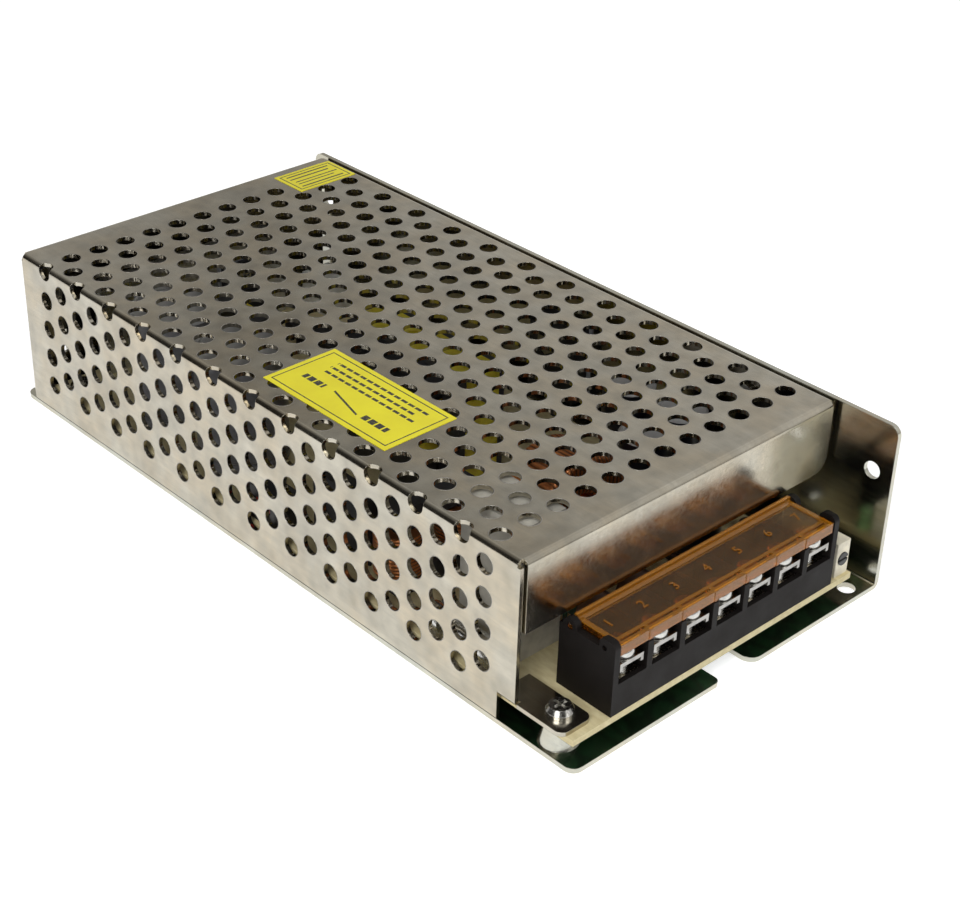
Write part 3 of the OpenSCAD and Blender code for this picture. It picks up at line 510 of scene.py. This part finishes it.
class Tree:
    """A Geometry Nodes tree under construction, run on an empty mesh and applied."""

    def __init__(self, name):
        self.tree = bpy.data.node_groups.new(name, "GeometryNodeTree")
        self.tree.interface.new_socket("Geometry", in_out="INPUT", socket_type="NodeSocketGeometry")
        self.tree.interface.new_socket("Geometry", in_out="OUTPUT", socket_type="NodeSocketGeometry")
        self.inputs = self.tree.nodes.new("NodeGroupInput")
        self.values = {}

    def take(self, name, kind, value):
        socket = self.tree.interface.new_socket(name, in_out="INPUT", socket_type=kind)
        self.values[socket.identifier] = value
        return self.inputs.outputs[name]

    def node(self, kind, given=None, **values):
        made = self.tree.nodes.new(kind)
        for key, value in values.items():
            setattr(made, key, value)
        for key, value in (given or {}).items():
            if isinstance(value, bpy.types.NodeSocket):
                self.tree.links.new(value, made.inputs[key])
            else:
                made.inputs[key].default_value = value
        return made

    def maths(self, operation, first, second=0.0):
        made = self.node("ShaderNodeMath", operation=operation)
        for socket, value in zip(made.inputs, (first, second)):
            if isinstance(value, bpy.types.NodeSocket):
                self.tree.links.new(value, socket)
            else:
                socket.default_value = value
        return made.outputs[0]

    def result(self, geometry, material, name):
        """Ends the tree in Realize Instances and Set Material and returns its plain mesh."""
        real = self.node("GeometryNodeRealizeInstances", {"Geometry": geometry})
        dressed = self.node("GeometryNodeSetMaterial", {"Geometry": real.outputs[0]})
        dressed.inputs["Material"].default_value = material
        out = self.tree.nodes.new("NodeGroupOutput")
        self.tree.links.new(dressed.outputs[0], out.inputs[0])
        carrier = bpy.data.objects.new(name + "_carrier", bpy.data.meshes.new(name + "_carrier"))
        bpy.context.scene.collection.objects.link(carrier)
        modifier = carrier.modifiers.new(name, "NODES")
        modifier.node_group = self.tree
        for identifier, value in self.values.items():
            modifier[identifier] = value
        evaluated = carrier.evaluated_get(bpy.context.evaluated_depsgraph_get())
        mesh = bpy.data.meshes.new_from_object(evaluated)
        mesh.name = name
        carrier.modifiers.remove(modifier)
        bpy.data.objects.remove(carrier)
        return mesh


# ---------------------------------------------------------------- operators

class Step(Operator):
    """One step of dressing the power supply."""
    bl_idname = "supply.step"
    bl_label = "Step"

    def make(self):
        raise RuntimeError("this step makes nothing by itself")

    def execute(self, context):
        self.make()
        return {"FINISHED"}


class DressSheet(Step):
    """Plates the base, the side wall and the cover"""
    bl_idname = "supply.sheet"
    bl_label = "Plated sheet"

    def make(self):
        look = settings().sheet
        dress("chassis", plated_sheet("plated_base", look.base_colour, (1, 0.08, 1), look.mottle * 0.6))
        dress("mesh_cover", plated_sheet("plated_cover", look.cover_colour, (1, 0.08, 1), look.mottle))


class RaiseRims(Step):
    """Raises a fine rim round each punched hole"""
    bl_idname = "supply.rims"
    bl_label = "Hole rims"

    def make(self):
        p = settings().perforation
        steel = bright_metal("sheared_rim", (0.42, 0.40, 0.36), 0.35)
        row_step = p.pitch * math.sqrt(3) / 2
        left = COVER_LOW.x
        faces = [
            ("top", Vector((left + p.top_column, 0, LID_TOP)),
             Vector((1, 0, 0)), Vector((0, 0, 1)), 11, 12),
            ("side", Vector((left, 0, LID_TOP - p.side_column)),
             Vector((0, 0, -1)), Vector((-1, 0, 0)), 4, 4),
        ]
        meshes = []
        for label, start, across, outward, even_columns, odd_columns in faces:
            for parity, columns in ((0, even_columns), (1, odd_columns)):
                shift = p.pitch * (0.5 if parity else 1.0)
                # rows count from the rear; the last row is an odd one
                first = COVER_HIGH.y - p.rear_margin - parity * row_step
                meshes.append(self.lattice(
                    f"rims_{label}_{parity}", steel, start + across * shift, across, outward,
                    first, -2 * row_step, p.rows // 2, columns))
        shape = bmesh.new()
        for mesh in meshes:
            shape.from_mesh(mesh)
        piece("hole_rims", mesh_from(shape, "hole_rims"), steel, "case")

    def lattice(self, name, material, start, across, outward, first_y, step_y, rows, columns):
        """One rectangular half of the staggered pattern: rims set on a grid in a face's plane."""
        p = settings().perforation
        t = Tree(name)
        radius = t.take("Hole radius", "NodeSocketFloat", p.hole / 2)
        width = t.take("Rim width", "NodeSocketFloat", p.rim_width)
        height = t.take("Rim height", "NodeSocketFloat", p.rim_height)
        pitch = t.take("Hole spacing", "NodeSocketFloat", p.pitch)
        step = t.take("Row step", "NodeSocketFloat", step_y)
        half_width = t.maths("MULTIPLY", width, 0.5)
        circle = "GeometryNodeCurvePrimitiveCircle"
        ring = t.node(circle, {"Resolution": 28, "Radius": t.maths("ADD", radius, half_width)},
                      mode="RADIUS")
        bead = t.node(circle, {"Resolution": 6, "Radius": 1.0}, mode="RADIUS")
        squash = t.node("ShaderNodeCombineXYZ", {"X": half_width, "Y": height, "Z": 1.0})
        flat = t.node("GeometryNodeTransform", {"Geometry": bead.outputs[0], "Scale": squash.outputs[0]})
        rim = t.node("GeometryNodeCurveToMesh", {"Curve": ring.outputs[0], "Profile Curve": flat.outputs[0]})
        grid = t.node("GeometryNodeMeshLine", {"Count": columns}, mode="OFFSET", count_mode="TOTAL")
        offset = t.node("ShaderNodeVectorMath", {0: tuple(across)}, operation="SCALE")
        t.tree.links.new(pitch, offset.inputs["Scale"])
        t.tree.links.new(offset.outputs[0], grid.inputs["Offset"])
        grid.inputs["Start Location"].default_value = (start.x, first_y, start.z)
        lines = t.node("GeometryNodeMeshLine", {"Count": rows}, mode="OFFSET", count_mode="TOTAL")
        along = t.node("ShaderNodeCombineXYZ", {"Y": step})
        t.tree.links.new(along.outputs[0], lines.inputs["Offset"])
        rows_of = t.node("GeometryNodeInstanceOnPoints",
                         {"Points": lines.outputs[0], "Instance": grid.outputs[0]})
        points = t.node("GeometryNodeRealizeInstances", {"Geometry": rows_of.outputs[0]})
        turn = Vector((0, 0, 1)).rotation_difference(outward).to_euler()
        placed = t.node("GeometryNodeInstanceOnPoints", {
            "Points": points.outputs[0], "Instance": rim.outputs[0], "Rotation": tuple(turn)})
        return t.result(placed.outputs[0], material, name)


class DressBoard(Step):
    """Finishes the circuit board"""
    bl_idname = "supply.board"
    bl_label = "Circuit board"

    def make(self):
        dress("circuit_board", board_laminate("board_laminate", BOARD_TOP))


class DressBlock(Step):
    """Finishes the terminal block, its contacts and clamps"""
    bl_idname = "supply.block"
    bl_label = "Terminal block"

    def make(self):
        look = settings().plastic
        dress("terminal_block", moulded("block_plastic", look.block_colour, 0.5, wear=1.3, shine=0.12))
        dress("terminal_contacts", bright_metal("contact_plate", (0.80, 0.73, 0.58), 0.22))
        clamp = bright_metal("clamp_plate", (0.42, 0.41, 0.39), 0.18)
        for way in range(1, WAYS + 1):
            dress(f"terminal_clamp_{way}", clamp)


class CutScrews(Step):
    """Turns the terminal screws with their threads, washers' faces and driver recesses"""
    bl_idname = "supply.screws"
    bl_label = "Terminal screws"

    def make(self):
        look = settings().screws
        nickel = bright_metal("screw_nickel", look.colour, 0.2)
        for node in ("board_screws", "cover_foot_screw", "wall_screws", "transistor_screws", "rectifier_nut"):
            dress(node, nickel)
        for way in range(1, WAYS + 1):
            node = f"terminal_screw_{way}"
            lo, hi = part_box(node)
            mesh = self.screw(node + "_turned", (lo + hi) / 2, lo.z, hi.z, (hi.x - lo.x) / 2)
            made = piece(node + "_turned", mesh, nickel, f"screw_{way}")
            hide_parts(node)

    def screw(self, name, centre, foot, top, head_radius):
        look = settings().screws
        head_height = 2.2 * MM
        under = top - head_height
        outer, pitch = look.thread_radius, look.thread_pitch
        core = outer - 0.3 * MM
        steps = 24
        shape = bmesh.new()
        where = (centre.x, centre.y, 0)
        # thread: one ridge wound as a helix, standing on the core
        turns = (under - 0.3 * MM - foot - 0.5 * MM) / pitch
        rows = []
        for i in range(int(turns * steps) + 1):
            angle = 2 * math.pi * i / steps
            height = foot + 0.35 * MM + pitch * i / steps
            fade = min(1.0, i / steps, (turns * steps - i) / steps)
            ridge = core + (outer - core) * max(0.05, fade)
            rows.append([shape.verts.new((
                where[0] + r * math.cos(angle), where[1] + r * math.sin(angle), height + dz))
                for r, dz in ((core - 0.06 * MM, -0.27 * MM), (ridge, -0.05 * MM),
                              (ridge, 0.05 * MM), (core - 0.06 * MM, 0.27 * MM))])
        for a, b in zip(rows, rows[1:]):
            for k in range(3):
                shape.faces.new((a[k], b[k], b[k + 1], a[k + 1]))
            shape.faces.new((a[3], b[3], b[0], a[0]))
        shape.faces.new(rows[0])
        shape.faces.new(list(reversed(rows[-1])))
        # core, head and its rounded crown
        head = head_radius
        turned(shape, [
            (0, foot), (core * 0.8, foot), (core, foot + 0.3 * MM), (core, under - 0.35 * MM),
            (outer * 0.98, under - 0.1 * MM), (outer * 0.98, under),
            (head - 0.12 * MM, under), (head, under + 0.12 * MM), (head, under + 0.75 * MM),
            (head * 0.985, under + 1.05 * MM), (head * 0.93, under + 1.45 * MM),
            (head * 0.84, under + 1.8 * MM), (head * 0.72, under + 2.03 * MM),
            (head * 0.55, under + 2.15 * MM), (head * 0.3, top), (0, top)], 40, where)
        bmesh.ops.recalc_face_normals(shape, faces=shape.faces)
        mesh = mesh_from(shape, name)
        return self.recess(mesh, name, centre, top, head)

    def recess(self, mesh, name, centre, top, head):
        """Cuts the long slot and the shorter cross out of the head."""
        body = bpy.data.objects.new(name, mesh)
        bpy.context.scene.collection.objects.link(body)
        tools = []
        for length, width, depth, angle in ((head * 2.4, 0.85 * MM, 0.9 * MM, 0.0),
                                            (head * 1.15, 0.85 * MM, 1.3 * MM, math.pi / 2)):
            shape = bmesh.new()
            bmesh.ops.create_cube(shape, size=1)
            bmesh.ops.transform(shape, verts=shape.verts, matrix=(
                Matrix.Translation((centre.x, centre.y, top)) @ Matrix.Rotation(angle, 4, "Z")
                @ Matrix.Diagonal((length, width, depth * 2, 1))))
            tool = bpy.data.objects.new(name + "_tool", mesh_from(shape, name + "_tool"))
            bpy.context.scene.collection.objects.link(tool)
            cut = body.modifiers.new("recess", "BOOLEAN")
            cut.object, cut.operation, cut.solver = tool, "DIFFERENCE", "EXACT"
            tools.append(tool)
        evaluated = body.evaluated_get(bpy.context.evaluated_depsgraph_get())
        cut_mesh = bpy.data.meshes.new_from_object(evaluated)
        for made in (body, *tools):
            bpy.data.objects.remove(made)
        return cut_mesh


class DressFlipCover(Step):
    """Finishes the amber flip cover and numbers its terminals"""
    bl_idname = "supply.flip_cover"
    bl_label = "Flip cover"

    def make(self):
        look = settings().plastic
        plate_height, font_to_digit, emboss = 2.2 * MM, 1.35, 0.12 * MM
        plate_top = low("terminal_cover").z + plate_height
        front = low("terminal_cover").y
        dress("terminal_cover", clear_amber("clear_amber", look.flip_cover_colour, plate_top, front))
        # with 0 as the plate's top every digit lies in the rim mask and takes the painted edge-glow tint and
        # lower transmission
        ridge = clear_amber("amber_digits", darker(look.flip_cover_colour, 1.1), 0, front)
        shape = bmesh.new()
        for way in range(1, WAYS + 1):
            words = bpy.data.curves.new(f"digit_{way}", "FONT")
            words.body = str(way)
            words.size = look.digit_height * font_to_digit
            words.align_x, words.align_y = "CENTER", "CENTER"
            words.extrude = emboss
            words.resolution_u = 3
            carrier = bpy.data.objects.new(f"digit_{way}", words)
            bpy.context.scene.collection.objects.link(carrier)
            evaluated = carrier.evaluated_get(bpy.context.evaluated_depsgraph_get())
            mesh = bpy.data.meshes.new_from_object(evaluated)
            bpy.data.objects.remove(carrier)
            mesh.transform(Matrix.Translation((
                middle(f"terminal_screw_{way}").x, middle("terminal_cover").y + 0.4 * MM,
                plate_top + 0.1 * MM)))
            shape.from_mesh(mesh)
        bmesh.ops.remove_doubles(shape, verts=shape.verts, dist=1e-6)
        piece("terminal_digits", mesh_from(shape, "terminal_digits"), ridge, "flip_cover",
              False)


class DressStickers(Step):
    """Prints the two stickers on the cover"""
    bl_idname = "supply.stickers"
    bl_label = "Stickers"

    def make(self):
        dress("voltage_label", printed_sticker("large_sticker", "voltage_label", 1.2 * MM, (
            (6.4, -0.5, 0.8, 30), (4.2, 0.5, 0.8, 28), (2.0, -1, 0.8, 30),
            (-2.6, 12, 1.8, 7), (-4.6, -11, 1.8, 8)), (-2.2, 5.5, -5.2, -5.5)))
        dress("small_label", printed_sticker("small_sticker", "small_label", 0.9 * MM, (
            (0, 3.4, 14, 0.55), (-0.6, 1.7, 13, 0.55), (0.3, 0, 14, 0.9),
            (-0.8, -1.7, 12, 0.55), (0, -3.4, 14, 0.55))))


class DressInnerParts(Step):
    """Finishes the parts on the circuit board"""
    bl_idname = "supply.inner_parts"
    bl_label = "Inner parts"

    def make(self):
        plain = {
            "trimmer_body": moulded("cream_plastic", (0.74, 0.69, 0.55), 0.5),
            "trimmer_rotor": moulded("dark_rotor", (0.03, 0.03, 0.03), 0.4),
            "power_lamp": moulded("lamp_lens", (0.36, 0.62, 0.30), 0.15),
            "fuse_tube": bright_metal("fuse_caps", (0.78, 0.78, 0.76), 0.2),
            "fuse_clips": bright_metal("tin_plate", (0.74, 0.74, 0.72), 0.28),
            "inrush_thermistor": moulded("dipped_green", (0.04, 0.09, 0.06), 0.35),
            "line_filter_capacitor": moulded("light_grey_case", (0.50, 0.48, 0.42), 0.45),
            "suppression_capacitors": moulded("dipped_brown", (0.10, 0.045, 0.02), 0.3),
            "line_choke_core": moulded("dark_ferrite", (0.03, 0.03, 0.032), 0.6),
            "main_transformer_core": moulded("ferrite", (0.035, 0.035, 0.037), 0.55),
            "driver_transformer_core": moulded("ferrite_small", (0.035, 0.035, 0.037), 0.55),
            "main_transformer_bobbin": moulded("bobbin_black", (0.02, 0.02, 0.02), 0.45),
            "bridge_rectifier": moulded("epoxy_black", (0.02, 0.02, 0.021), 0.5),
            "voltage_selector_body": moulded("selector_black", (0.02, 0.02, 0.02), 0.4),
            "voltage_selector_slider": moulded("selector_red", (0.55, 0.03, 0.02), 0.35),
            "switching_transistors": moulded("package_black", (0.018, 0.018, 0.02), 0.5),
            "output_rectifier": moulded("package_dark", (0.018, 0.018, 0.02), 0.5),
            "control_chip": moulded("chip_black", (0.016, 0.016, 0.017), 0.45),
            "insulating_pads": moulded("pad_grey", (0.34, 0.35, 0.38), 0.6),
            "load_resistor": moulded("white_cement", (0.80, 0.77, 0.70), 0.75, 0.5 * MM, 0.5),
            "heat_sink": bright_metal("sink_aluminium", (0.72, 0.73, 0.74), 0.35),
            "output_choke_core": moulded("powder_yellow", (0.72, 0.62, 0.12), 0.5),
            "main_transformer_winding": moulded("yellow_tape", (0.80, 0.64, 0.05), 0.3),
            "main_transformer_tape": moulded("yellow_band", (0.80, 0.66, 0.06), 0.3),
            "driver_transformer_winding": moulded("yellow_wrap", (0.78, 0.62, 0.05), 0.3),
        }
        for node, material in plain.items():
            dress(node, material)
        copper = (0.72, 0.27, 0.10)
        dress("line_choke_windings", wound_wire("choke_wire", copper, "Z"))
        dress("output_choke_winding", wound_wire("ring_wire", copper, "X", 1.2 * MM))
        for node in ("bulk_capacitor_front", "bulk_capacitor_rear"):
            dress(node, banded(node + "_sleeve", (0.16, 0.16, 0.17), (0.40, 0.40, 0.40),
                               high(node).z - 0.7 * MM, high(node).z + MM, 0.3))
        can_top = high("output_capacitors").z
        dress("output_capacitors", banded("dark_sleeve", (0.012, 0.013, 0.02), (0.62, 0.62, 0.62),
                                          can_top - 0.7 * MM, can_top + MM, 0.28))


class SetStage(Step):
    """Sets the floor, the light and the camera"""
    bl_idname = "supply.stage"
    bl_label = "Stage"

    def make(self):
        look = settings().stage
        scene = bpy.context.scene
        scene.view_settings.view_transform = "Standard"
        self.floor()
        self.room(look.room_level)
        self.light("key_light", look.key_power, (-0.75, -0.35, 0.55), 0.5)
        self.light("fill_light", look.fill_power, (0.25, -0.9, 0.5), 0.4)
        self.light("top_light", look.top_power, (-0.35, -0.45, 0.8), 0.4)
        self.camera()

    def floor(self):
        shape = bmesh.new()
        bmesh.ops.create_grid(shape, x_segments=1, y_segments=1, size=6)
        mesh = mesh_from(shape, "floor")
        below_feet = 0.1 * MM
        mesh.transform(Matrix.Translation((0, 0, -below_feet)))
        floor = bpy.data.objects.new("floor", mesh)
        bpy.context.scene.collection.objects.link(floor)
        f = Finish("white_floor")
        f.set(colour=(0.92, 0.92, 0.92), rough=0.9)
        path = f.node("ShaderNodeLightPath")
        seen = f.maths("MAXIMUM", path.outputs["Is Camera Ray"], path.outputs["Is Glossy Ray"])
        lift = 0.6
        bright = f.node("ShaderNodeEmission")
        bright.inputs["Color"].default_value = (1, 1, 1, 1)
        bright.inputs["Strength"].default_value = lift
        added = f.node("ShaderNodeAddShader")
        f.links.new(f.shader.outputs[0], added.inputs[0])
        f.links.new(bright.outputs[0], added.inputs[1])
        choice = f.node("ShaderNodeMixShader")
        f.links.new(seen, choice.inputs[0])
        f.links.new(f.shader.outputs[0], choice.inputs[1])
        f.links.new(added.outputs[0], choice.inputs[2])
        f.links.new(choice.outputs[0], f.nodes["Material Output"].inputs["Surface"])
        mesh.materials.append(f.material)

    def room(self, level):
        """White for the camera; for metal a cloudy room, lighter to the right than to the left."""
        toward_light = (0.43, 0.05, 0.15)
        cloud_scale = 2.6
        world = bpy.data.worlds.new("room")
        bpy.context.scene.world = world
        world.use_nodes = True
        nodes, links = world.node_tree.nodes, world.node_tree.links
        soft = nodes["Background"]
        soft.inputs["Color"].default_value = (1, 1, 1, 1)
        soft.inputs["Strength"].default_value = level
        white = nodes.new("ShaderNodeBackground")
        white.inputs["Strength"].default_value = 1
        white.inputs["Color"].default_value = (1, 1, 1, 1)
        mirrored = nodes.new("ShaderNodeBackground")
        way = nodes.new("ShaderNodeTexCoord").outputs["Generated"]
        facing = nodes.new("ShaderNodeVectorMath")
        facing.operation = "DOT_PRODUCT"
        facing.inputs[1].default_value = toward_light
        links.new(way, facing.inputs[0])
        patches = nodes.new("ShaderNodeTexNoise")
        patches.inputs["Scale"].default_value = cloud_scale
        patches.inputs["Detail"].default_value = 3
        links.new(way, patches.inputs["Vector"])
        total = nodes.new("ShaderNodeMath")
        total.operation = "ADD"
        links.new(facing.outputs["Value"], total.inputs[0])
        links.new(patches.outputs["Fac"], total.inputs[1])
        ramp = nodes.new("ShaderNodeValToRGB")
        ramp.color_ramp.elements[0].position = 0.38
        ramp.color_ramp.elements[0].color = (0.03, 0.028, 0.025, 1)
        ramp.color_ramp.elements[1].position = 0.9
        ramp.color_ramp.elements[1].color = (0.8, 0.79, 0.78, 1)
        middle_stop = ramp.color_ramp.elements.new(0.65)
        middle_stop.color = (0.32, 0.31, 0.29, 1)
        links.new(total.outputs[0], ramp.inputs[0])
        links.new(ramp.outputs[0], mirrored.inputs["Color"])
        path = nodes.new("ShaderNodeLightPath")
        last = soft.outputs[0]
        for ray, light in (("Is Glossy Ray", mirrored), ("Is Camera Ray", white)):
            choice = nodes.new("ShaderNodeMixShader")
            links.new(path.outputs[ray], choice.inputs[0])
            links.new(last, choice.inputs[1])
            links.new(light.outputs[0], choice.inputs[2])
            last = choice.outputs[0]
        links.new(last, nodes["World Output"].inputs["Surface"])

    def light(self, name, power, place, size):
        lamp = bpy.data.lights.new(name, "AREA")
        lamp.energy, lamp.size = power, size
        made = bpy.data.objects.new(name, lamp)
        bpy.context.scene.collection.objects.link(made)
        made.location = place
        made.rotation_euler = (-Vector(place)).to_track_quat("-Z", "Y").to_euler()

    def camera(self):
        look = settings().stage
        lens = bpy.data.cameras.new("camera")
        lens.lens, lens.sensor_width = look.lens, 36
        lens.clip_start = 0.01
        made = bpy.data.objects.new("camera", lens)
        bpy.context.scene.collection.objects.link(made)
        # the point aimed at lies a little ahead of the case's middle, at half its height
        aim = Vector((-0.0033, -0.0231, 0.021))
        back = Vector((math.sin(look.azimuth) * math.cos(look.elevation),
                       -math.cos(look.azimuth) * math.cos(look.elevation), math.sin(look.elevation)))
        made.location = aim + back * look.distance
        made.rotation_mode = "QUATERNION"
        facing = (-back).to_track_quat("-Z", "Y")
        made.rotation_quaternion = facing @ Matrix.Rotation(look.roll, 4, "Z").to_quaternion()
        bpy.context.scene.camera = made


STEPS = (DressSheet, RaiseRims, DressBoard, DressBlock, CutScrews, DressFlipCover,
         DressStickers, DressInnerParts, SetStage)


class SupplyPanel(Panel):
    """Lists the steps in the sidebar."""
    bl_idname = "VIEW3D_PT_supply"
    bl_label = "Power supply"
    bl_space_type = "VIEW_3D"
    bl_region_type = "UI"
    bl_category = "Power supply"

    def draw(self, context):
        for group in ("sheet", "perforation", "screws", "plastic", "stickers", "stage"):
            values = getattr(context.scene.supply, group)
            box = self.layout.box()
            for name in values.bl_rna.properties.keys():
                if name not in ("rna_type", "name"):
                    box.prop(values, name)
        for step in STEPS:
            self.layout.operator(step.bl_idname)


CLASSES = (SheetSettings, PerforationSettings, ScrewSettings, PlasticSettings, StickerSettings,
           StageSettings, SupplySettings, *STEPS, SupplyPanel)


def register():
    for made in CLASSES:
        bpy.utils.register_class(made)
    bpy.types.Scene.supply = PointerProperty(type=SupplySettings)


def unregister():
    del bpy.types.Scene.supply
    for made in reversed(CLASSES):
        bpy.utils.unregister_class(made)


def main():
    register()
    for step in STEPS:
        group, name = step.bl_idname.split(".")
        if getattr(getattr(bpy.ops, group), name)() != {"FINISHED"}:
            raise RuntimeError(f"{step.bl_label} did not finish")


if __name__ == "__main__":
    main()
